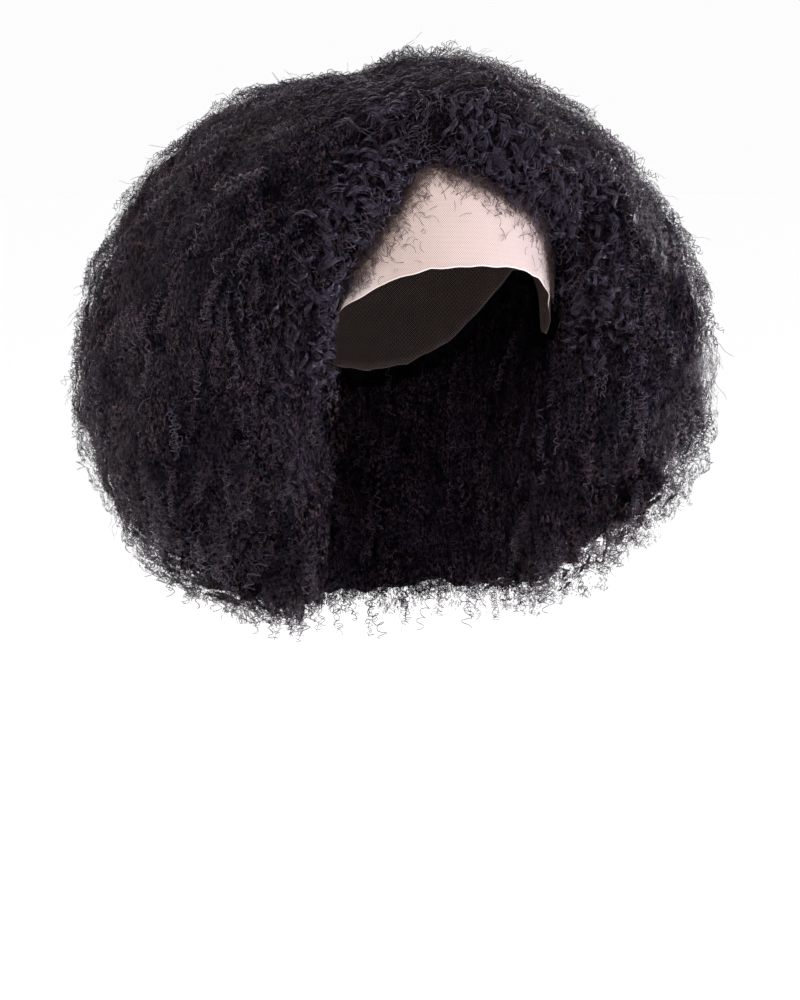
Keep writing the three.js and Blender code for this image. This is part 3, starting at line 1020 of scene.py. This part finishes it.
count = len(seeds)
length = between(*CURL_LENGTHS, loose)
path, normals = lay_paths(seeds, seed_normals, length, STEPS)
side = unit(np.cross(np.gradient(path, axis=1), normals))
path = path + side * rng.normal(0, SWAY, (count, STEPS + 1, 1))
low = -depth_of_mass(seeds) * spread(ROOT_DEPTH, count)
proud = rng.random(count) < PROUD_SHARE
standing = spread(PROUD, count) + rng.exponential(PROUDER, count)
high = np.where(proud, standing, low + spread(LYING, count))
high = np.minimum(high, PROUD_MOST) * (1 - combed) - COMBED_DOWN * combed
path = lift(path, normals, low, high)
lowest = cad_box[0].z - HANG_MOST
path[..., 2] = np.maximum(path[..., 2], lowest + HANG_SPREAD * rng.random((count, 1)))
curl = between(*CURL_WIDTHS, loose) * (1 - COMBED_WIDTH * combed)
turn = between(*CURL_TURNS, loose)
thickness = between(*CURL_RADII, loose) * (1 - COMBED_RADIUS * combed)
# Random tone, plus painted brown for light through strands that stand proud.
brown = np.clip(rng.beta(1.5, 4, count) + PROUD_BACKLIGHT * np.maximum(high, 0), 0, 1)

strand = np.repeat(np.arange(count), LOCK_STRANDS)
points, across = wind(path[strand], normals[strand], curl[strand], turn[strand], CURL_POINTS)
radius = tapered(thickness[strand], CURL_POINTS)
tones = np.clip(brown[strand] + rng.normal(0, TONE_SPREAD, len(strand)), 0, 1)

gaps = np.array([solids[node].nearest(seeds)[2] for node in HAIR_NODES])
section = gaps.argmin(axis=0)[strand]
on_left = seeds[strand, 0] > 0
for number, node in enumerate(HAIR_NODES):
    halves = {"": np.ones(len(strand), bool)}
    if node in SPLIT_NODES:
        halves = {"_left": on_left, "_right": ~on_left}
    for suffix, half in halves.items():
        mine = np.flatnonzero((section == number) & half)
        name = node.replace("hair", "curls") + suffix
        strand_piece(name, points[mine], across[mine], radius[mine], tones[mine], curl_finish)

# %% [markdown]
# ## Strands at the part
# Along the part the hair is combed flat, so its strands leave the line nearly straight and side
# by side before they begin to curl.

# %% Part strands
PART_STRANDS = 260
PART_POINTS = 20
PART_TOP = 0.01
PART_ASIDE = (0.001, 0.005)
PART_LENGTH = (0.045, 0.07)
PART_ROOTS = (-0.001, 0.001)
PART_TIPS = (-0.002, 0.003)
PART_SIZES = {"curl": (0.0008, 0.0022), "turn": (0.011, 0.018), "radius": (0.0002, 0.0003)}


def wound_strands(name, path, normals, sizes, count, draw_tones, wobble=1):
    """A piece of single strands wound round paths, with sizes drawn between their limits."""
    strands = len(path)
    curl = spread(sizes["curl"], strands)
    turn = spread(sizes["turn"], strands)
    points, across = wind(path, normals, curl, turn, count, wobble)
    radius = tapered(spread(sizes["radius"], strands), count)
    strand_piece(name, points, across, radius, draw_tones(strands), curl_finish)


share = rng.random(PART_STRANDS)
sides = rng.choice([-1, 1], PART_STRANDS) * spread(PART_ASIDE, PART_STRANDS)
above = np.stack([
    PART_FRONT[0] + share * (PART_BACK[0] - PART_FRONT[0]) + sides,
    PART_FRONT[1] + share * (PART_BACK[1] - PART_FRONT[1]),
    np.full(PART_STRANDS, PART_TOP),
], axis=-1)
starts, start_normals, _ = form.nearest(above)
path, normals = lay_paths(starts, start_normals, spread(PART_LENGTH, PART_STRANDS), STEPS)
root_heights = spread(PART_ROOTS, PART_STRANDS)
path = lift(path, normals, root_heights, spread(PART_TIPS, PART_STRANDS))
wound_strands("part_strands", path, normals, PART_SIZES, PART_POINTS,
              lambda strands: rng.beta(1.5, 3, strands))

# %% [markdown]
# ## Curls along the hairline
# By the bare lace the hair ends in small curls that lie every way, some of them over the edge
# of the hair, which hides the line where it begins.

# %% Edge curls
EDGE_CURLS = 260
EDGE_TRIES = 40000
EDGE_STEPS = 4
EDGE_POINTS = 16
EDGE_REACH = 0.018
EDGE_FRONT = -0.03
EDGE_ABOVE = -0.14
EDGE_LEAN = 1.1
EDGE_BEND = 0.5
EDGE_LENGTH = (0.012, 0.022)
EDGE_ROOTS = (-0.001, 0.001)
EDGE_TIPS = (0, 0.005)
EDGE_SIZES = {"curl": (0.001, 0.0024), "turn": (0.006, 0.01), "radius": (0.00024, 0.00038)}

starts, start_normals, _ = outer_seeds(EDGE_TRIES)
front = np.flatnonzero((starts[:, 1] < EDGE_FRONT) & (starts[:, 2] > EDGE_ABOVE))
front = front[from_bare_lace(starts[front]) < EDGE_REACH][:EDGE_CURLS]
starts, start_normals = starts[front], start_normals[front]
count = len(starts)
away = flow_at(starts, start_normals)
sideways = np.cross(start_normals, away)
angle = rng.normal(0, EDGE_LEAN, (count, 1))
bend = rng.normal(0, EDGE_BEND, (count, 1))
step = spread(EDGE_LENGTH, (count, 1)) / EDGE_STEPS
path = [starts]
for number in range(EDGE_STEPS):
    facing = angle + bend * number
    path.append(path[-1] + (away * np.cos(facing) + sideways * np.sin(facing)) * step)
path = np.stack(path, axis=1)
normals = np.repeat(start_normals[:, None], EDGE_STEPS + 1, axis=1)
root_heights = spread(EDGE_ROOTS, count)
path = lift(path, normals, root_heights, spread(EDGE_TIPS, count))
wound_strands("edge_curls", path, normals, EDGE_SIZES, EDGE_POINTS,
              lambda strands: rng.beta(2, 2, strands))

# %% [markdown]
# ## Ringlets
# Round the forehead the hair falls in larger, glossy ringlets. Each is a band of strands that
# wind side by side, so that their highlights line up.

# %% Ringlets
RINGLETS = 200
RINGLET_TRIES = 8000
RINGLET_STRANDS = 6
RINGLET_POINTS = 19
RINGLET_SPACING = 0.26
RINGLET_CLEAR = 0.007
RINGLET_RARE = (0.02, 0.06)
RINGLET_FRONT = 0.01
RINGLET_ABOVE = -0.19
RINGLET_CURL = (0.0022, 0.0046)
TURN_TO_CURL = (3.2, 4.4)
LENGTH_TO_TURN = (1.4, 2.6)
RINGLET_DRIFT = 0.006
RINGLET_ROOTS = (-0.002, 0.001)
RINGLET_TIPS = (-0.001, 0.003)
RINGLET_RADIUS = (0.00024, 0.00034)
BROWN_REACH = 0.025
BROWN_BY_LACE = 0.35

starts, start_normals, facing_in = outer_seeds(RINGLET_TRIES)
ahead = (starts[:, 1] < RINGLET_FRONT) & (starts[:, 2] > RINGLET_ABOVE)
front = np.flatnonzero(~facing_in & ahead)
front = front[from_part(starts[front]) > REACH_START * COMBED_REACH]
to_lace = from_bare_lace(starts[front])
common = rng.random(len(front)) > smoothstep(to_lace, *RINGLET_RARE)
kept = np.flatnonzero((to_lace > RINGLET_CLEAR) & common)[:RINGLETS]
starts, start_normals = starts[front[kept]], start_normals[front[kept]]
count = len(starts)
curl = spread(RINGLET_CURL, count)
turn = curl * spread(TURN_TO_CURL, count)
path, normals = lay_paths(starts, start_normals, turn * spread(LENGTH_TO_TURN, count), STEPS)
side = unit(np.cross(np.gradient(path, axis=1), normals))
drift = rng.normal(0, RINGLET_DRIFT, (count, 1, 1))
path = path + side * (np.linspace(-1, 1, STEPS + 1)[None, :, None] * drift)
root_heights = spread(RINGLET_ROOTS, count)
path = lift(path, normals, root_heights, spread(RINGLET_TIPS, count))
strand = np.repeat(np.arange(count), RINGLET_STRANDS)
beside = np.tile(np.arange(RINGLET_STRANDS), count) * RINGLET_SPACING
start = rng.uniform(0, 2 * np.pi, count)[strand] + beside
hand = rng.choice([-1, 1], count)[strand]
points, across = wind(path[strand], normals[strand], curl[strand], turn[strand],
                      RINGLET_POINTS, wobble=0.3, start=start, hand=hand)
radius = tapered(spread(RINGLET_RADIUS, len(strand)), RINGLET_POINTS)
brown = BROWN_BY_LACE * (1 - smoothstep(to_lace[kept], RINGLET_CLEAR, BROWN_REACH))[strand]
tones = brown + (1 - BROWN_BY_LACE) * rng.beta(1.2, 4, len(strand))
strand_piece("ringlets", points, across, radius, tones, curl_finish)

# %% [markdown]
# ## Springs at the ends
# Some of the lowest locks hang free of the rest as open springs.

# %% Springs
SPRINGS = 46
SPRING_TRIES = 12000
SPRING_POINTS = 40
SPRING_TOP = -0.27
SPRING_UNDER = -0.35
SPRING_LENGTH = (0.024, 0.036)
SPRING_INSIDE = 0.6
SPRING_BEND = 0.0035
SPRING_WAVES = 5
SPRING_SIZES = {"curl": (0.0023, 0.0034), "turn": (0.0055, 0.0072), "radius": (0.00036, 0.0005)}

starts, start_normals, _ = outer_seeds(SPRING_TRIES)
under = (starts[:, 2] < SPRING_TOP) & (start_normals[:, 2] < SPRING_UNDER)
starts = starts[np.flatnonzero(under)[:SPRINGS]]
count = len(starts)
length = spread(SPRING_LENGTH, count)
share = np.linspace(0, 1, STEPS + 1)[None, :, None]
bend = rng.normal(0, SPRING_BEND, (count, 1, 3)) * np.array([1, 1, 0])
path = starts[:, None] + share * DOWN * length[:, None, None] + bend * np.sin(share * SPRING_WAVES)
path[..., 2] += (SPRING_INSIDE * length)[:, None]
path[..., 2] += np.maximum(lowest - path[:, -1:, 2], 0)
normals = np.broadcast_to(np.array([0, -1.0, 0]), path.shape)
wound_strands("springs", path, normals, SPRING_SIZES, SPRING_POINTS,
              lambda strands: rng.beta(1.5, 4, strands), wobble=0.25)

# %% [markdown]
# ## Stray hairs
# Single fine hairs stand out of the outline all round.

# %% Stray hairs
STRAY_HAIRS = 480
STRAY_TRIES = 2000
STRAY_POINTS = 10
STRAY_STEPS = 4
STRAY_BACK_STEPS = 2
STRAY_LENGTH = (0.012, 0.02)
STRAY_ROOT = -0.002
STRAY_TIPS = (0.004, 0.012)
STRAY_TONES = (0.4, 1)
STRAY_SIZES = {"curl": (0.0005, 0.0013), "turn": (0.009, 0.014), "radius": (0.00012, 0.0002)}

starts, start_normals, facing_in = outer_seeds(STRAY_TRIES)
free = np.flatnonzero(~facing_in & (from_part(starts) > COMBED_REACH))[:STRAY_HAIRS]
starts, start_normals = starts[free], start_normals[free]
count = len(starts)
length = spread(STRAY_LENGTH, count)
path, normals = lay_paths(starts, start_normals, length, STRAY_STEPS, STRAY_BACK_STEPS)
path = lift(path, normals, np.full(count, STRAY_ROOT), spread(STRAY_TIPS, count))
path[..., 2] = np.maximum(path[..., 2], lowest)
wound_strands("stray_hairs", path, normals, STRAY_SIZES, STRAY_POINTS,
              lambda strands: spread(STRAY_TONES, strands))

# %% [markdown]
# ## Lace panels
# The cap is a fine net cut in two panels and sewn from ear to ear. Each panel is a thin sheet
# on the form of the head, from the crown down to its cut edge, with small ripples where the
# edge lies loose. The whole cap is made as one grid and then cut in two at the seam.

# %% Cap
HALF_WIDTH = 0.076
HALF_LENGTH = 0.097
CROWN_HEIGHT = 0.1
SKULL_POWER = 2.4
NECK_TAPER = 0.1
NECK_DEPTH = 0.07
LACE_OFFSET = 0.0004
CAP_COLUMNS = 144
CAP_ROWS = 42
WAY_POINTS = 400
RIPPLE = 0.0003
RIPPLE_REACH = 0.008
RIPPLE_WAVES = [(17, 0, 1), (29, 40, 0.6)]  # waves to a round, degrees on, size
TEMPLE = 66
TEMPLE_WIDTH = 9
TEMPLE_RIPPLE = 0.0009
EDGE_WAVE = 0.0003
EDGE_WAVES = 31
RIM = [  # degrees from the front, height of the cut edge
    (0, -0.0935), (20, -0.095), (37, -0.102), (50, -0.112), (58, -0.118), (64, -0.127),
    (70, -0.138), (79, -0.137), (87, -0.116), (95, -0.1), (108, -0.103), (122, -0.124),
    (140, -0.149), (160, -0.163), (180, -0.167),
]


def head_share(height):
    """How wide the head is at a height, as a share of its widest."""
    up = np.clip((height + CROWN_HEIGHT) / CROWN_HEIGHT, 0, 1)
    down = np.clip(-(height + CROWN_HEIGHT) / NECK_DEPTH, 0, 1)
    skull = (1 - up**SKULL_POWER) ** (1 / SKULL_POWER)
    return np.where(height > -CROWN_HEIGHT, skull, 1 - NECK_TAPER * down**2)


def meridian(edge_height):
    """Heights evenly spaced along the head from the crown down to its edge, and the way there."""
    fine = -(1 - np.cos(np.linspace(0, np.pi / 2, WAY_POINTS))) * -edge_height
    wide = head_share(fine) * (HALF_WIDTH + HALF_LENGTH) / 2
    way = np.concatenate([[0], np.cumsum(np.hypot(np.diff(fine), np.diff(wide)))])
    even = np.linspace(0, way[-1], CAP_ROWS)
    return np.interp(even, way, fine), even


def ripple(azimuth, to_edge):
    """Small waves of the loose edge, largest at the temples."""
    temple = np.exp(-(((np.abs(azimuth) - TEMPLE) / TEMPLE_WIDTH) ** 2))
    wave = sum(
        size * np.sin(np.radians(azimuth * waves + ahead)) for waves, ahead, size in RIPPLE_WAVES
    )
    return np.exp(-to_edge / RIPPLE_REACH) * (RIPPLE + TEMPLE_RIPPLE * temple) * wave


cap_points = []
cap_ways = []
for column in range(CAP_COLUMNS):
    azimuth = column * 360 / CAP_COLUMNS - 180
    turned = math.radians(azimuth)
    edge_height = np.interp(abs(azimuth), *zip(*RIM))
    edge_height += EDGE_WAVE * math.sin(math.radians(azimuth * EDGE_WAVES))
    heights, ways = meridian(edge_height)
    off = LACE_OFFSET + ripple(azimuth, ways[-1] - ways)
    share = head_share(heights)
    cap_points.append(np.stack([
        (HALF_WIDTH + off) * share * math.sin(turned),
        -(HALF_LENGTH + off) * share * math.cos(turned),
        heights + off * (1 - share),
    ], axis=-1))
    cap_ways.append(ways)
cap_points = np.array(cap_points)
cap_ways = np.array(cap_ways)
cap_edge = cap_points[:, -1, 2]
print("cap edge from", cap_edge.min().round(4), "to", cap_edge.max().round(4))

# %% Panels
ROUND_PLACE = (HALF_WIDTH + HALF_LENGTH) / 2
SEAM_Y = 0.01
SEAM_GAP = 0.0002
LACE_WELD = 1e-6
LACE_THICKNESS = 0.0003


def keep_values(mesh, name, values):
    """Keeps a value for each vertex of a mesh, for its finish to read."""
    kept = mesh.attributes.new(name, "FLOAT", "POINT")
    kept.data.foreach_set("value", values.ravel().astype(np.float32))


def cap_mesh(name):
    """The whole cap as a grid, with its lengths as a UV map and its edge as an attribute."""
    number = np.arange(CAP_COLUMNS * CAP_ROWS).reshape(CAP_COLUMNS, CAP_ROWS)
    beside = np.roll(number, -1, axis=0)
    quads = np.stack(
        [number[:, :-1], number[:, 1:], beside[:, 1:], beside[:, :-1]], axis=-1
    ).reshape(-1, 4)
    flat = cap_points.reshape(-1, 3)
    mesh = bpy.data.meshes.new(name)
    mesh.from_pydata(flat.tolist(), [], quads.tolist())
    column = np.arange(CAP_COLUMNS)[:, None, None] + np.array([0, 0, 1, 1])[None, None, :]
    around = np.broadcast_to(column, (CAP_COLUMNS, CAP_ROWS - 1, 4)).reshape(-1)
    around = np.radians(around * 360 / CAP_COLUMNS - 180) * ROUND_PLACE
    down = cap_ways.reshape(-1)[quads.ravel()]
    layer = mesh.uv_layers.new(name="thread_lengths")
    layer.uv.foreach_set("vector", np.stack([around, down], axis=-1).ravel().astype(np.float32))
    keep_values(mesh, "to_edge", cap_ways[:, -1:] - cap_ways)
    gaps = [solid.nearest(flat)[2] for solid in solids.values()]
    keep_values(mesh, "to_hair", np.min(gaps, axis=0))
    return mesh


def lace_panel(name, front):
    """One panel of the cap: the grid cut at the seam and given its thickness."""
    piece = new_piece(name, cap_mesh(name))
    bpy.ops.object.mode_set(mode="EDIT")
    bpy.ops.mesh.select_all(action="SELECT")
    bpy.ops.mesh.remove_doubles(threshold=LACE_WELD)
    bpy.ops.mesh.select_all(action="SELECT")
    bpy.ops.mesh.normals_make_consistent(inside=False)
    seam = SEAM_Y + (-SEAM_GAP if front else SEAM_GAP)
    bpy.ops.mesh.bisect(
        plane_co=(0, seam, 0), plane_no=(0, 1, 0), clear_outer=front, clear_inner=not front
    )
    bpy.ops.object.mode_set(mode="OBJECT")
    apply_modifier(piece, "SOLIDIFY", thickness=LACE_THICKNESS, offset=0)
    bpy.ops.object.shade_smooth()
    print(name, len(piece.data.polygons), "faces")
    return piece


front_lace = lace_panel("front_lace", True)
back_lace = lace_panel("back_lace", False)

# %% [markdown]
# ## Finish of the lace
# The net is woven in slanting threads about a millimetre apart, pale beige like skin. Its cut
# edge looks lighter, and where hair is tied to it the knots darken it. Near the hair it is
# darker still, partly from roots and partly from painted shade of the hair. The threads follow
# the cap, so the pattern reads the lengths kept in the UV map.

# %% Finish of the lace
CELL = 0.0014
LACE_BEIGE = (0.43, 0.335, 0.305)
LACE_EDGE = (0.6, 0.5, 0.46)
LACE_FOLD = (0.62, 0.54, 0.51)
LACE_KNOTS = (0.03, 0.02, 0.016)
LACE_TIED = (0.06, 0.042, 0.038)
# Colour near the hair: roots seen through the net, and painted shade of the hair.
LACE_ROOTS_AND_SHADE = (0.2, 0.135, 0.108)
HOLE_COVER = 0.5
TIED_COVER = 0.1
THREAD_WIDTH = (0.1, 0.8)
KNOT_WIDTH = (0.1, 0.5)
CUT_EDGE = (0.0004, 0.0012)
FOLD_SIDE = (0.042, 0.058)
FOLD_WIDTH = (0.006, 0.012)
FOLD_WHITE = 0.7
TIED_REACH = (0.0004, 0.004)
ROOT_SHADE_REACH = (0.001, 0.014)
ROOT_SHADE_DARK = 0.65

lace_finish, wire = new_finish("lace_net")
lengths = wire.node("ShaderNodeUVMap", {"uv_map": "thread_lengths"}, {})
around = wire.node("ShaderNodeSeparateXYZ", {}, {0: lengths}, output="X") * (2 * math.pi / CELL)
down = wire.node("ShaderNodeSeparateXYZ", {}, {0: lengths}, output="Y") * (2 * math.pi / CELL)
threads = (around + down).cosine().larger((around - down).cosine()).smooth(*THREAD_WIDTH)
to_edge = wire.node("ShaderNodeAttribute", {"attribute_name": "to_edge"}, {}, output="Fac")
to_hair = wire.node("ShaderNodeAttribute", {"attribute_name": "to_hair"}, {}, output="Fac")
edge = 1 - to_edge.smooth(*CUT_EDGE)
place = wire.node("ShaderNodeTexCoord", {}, {}, output="Object")
sideways = wire.node("ShaderNodeSeparateXYZ", {}, {0: place}, output="X")
temple = sideways.math("ABSOLUTE", sideways).smooth(*FOLD_SIDE)
fold = (1 - to_edge.smooth(*FOLD_WIDTH)) * temple * FOLD_WHITE
tied = 1 - to_hair.smooth(*TIED_REACH)
knots = (around * 0.5).cosine() * (down * 0.5).cosine()
dark = tied * knots.smooth(*KNOT_WIDTH)
# Darker towards the hair: partly roots, partly painted shade cast by the hair.
roots = ROOT_SHADE_DARK - to_hair.smooth(*ROOT_SHADE_REACH) * ROOT_SHADE_DARK
net = blend_colours(fold, blend_colours(roots, LACE_BEIGE, LACE_ROOTS_AND_SHADE), LACE_FOLD)
net = blend_colours(edge, net, LACE_EDGE)
net = blend_colours(tied, net, LACE_TIED)
holes = HOLE_COVER - tied * (HOLE_COVER - TIED_COVER)
surface(wire, {
    "Base Color": blend_colours(dark, net, LACE_KNOTS),
    "Roughness": 0.7,
    "Specular IOR Level": 0.2,
    "Alpha": (holes + threads * (1 - holes)).larger(edge),
})
for piece, node in ((front_lace, "lace_front"), (back_lace, "lace_back")):
    dress(piece, lace_finish)
    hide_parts(node)
print("finish", lace_finish.name, "with", len(lace_finish.node_tree.nodes), "nodes")

# %% [markdown]
# ## Short hairs along the hairline
# At the front the hair doesn't start at a line. Single fine hairs are tied ever further apart
# into the bare lace, and lie flat on it towards the rest. Each is a thin tube with a slight
# wave, rooted on the net.

# %% Hairline
SHORT_HAIRS = 3600
SHORT_TRIES = 200000
SHORT_STEPS = 4
SHORT_LENGTH = (0.005, 0.013)
SHORT_RADIUS = (0.00011, 0.00018)
SHORT_LEAN = 0.9
SHORT_BEND = 2.6
OUTER_FACE = 0.3
FRINGE_FRONT = -0.03
NO_FRINGE = -0.112
ROOT_CLEAR = 0.001
FADE = 0.005
ROOT_RISE = 0.0005
STEP_RISE = 0.0003

roots, root_normals = lace_front.strew(SHORT_TRIES)
facing = dot(root_normals, unit(roots - HEAD_CENTRE))[:, 0] > OUTER_FACE
front = np.flatnonzero(facing & (roots[:, 1] < FRINGE_FRONT) & (roots[:, 2] > NO_FRINGE))
roots, root_normals = roots[front], root_normals[front]
closest, _, gap = form.nearest(roots)
grown = rng.random(len(roots)) < np.exp(-gap / FADE)
kept = np.flatnonzero((gap > ROOT_CLEAR) & grown)[:SHORT_HAIRS]
roots, root_normals, closest = roots[kept], root_normals[kept], closest[kept]
count = len(roots)
ahead = closest - roots
ahead = unit(ahead - root_normals * dot(ahead, root_normals))
aside = np.cross(root_normals, ahead)
lean = rng.normal(0, SHORT_LEAN, (count, 1))
bend = rng.normal(0, SHORT_BEND, (count, 1))
length = spread(SHORT_LENGTH, (count, 1))
path = [roots + root_normals * ROOT_RISE]
for step in range(SHORT_STEPS):
    angle = lean + bend * step / SHORT_STEPS
    move = ahead * np.cos(angle) + aside * np.sin(angle)
    path.append(path[-1] + move * length / SHORT_STEPS + root_normals * STEP_RISE)
points = np.stack(path, axis=1)
across = np.repeat(root_normals[:, None], SHORT_STEPS + 1, axis=1)
radius = tapered(spread(SHORT_RADIUS, count), SHORT_STEPS + 1)
strand_piece("hairline_hairs", points, across, radius, rng.random(count), fringe_finish)
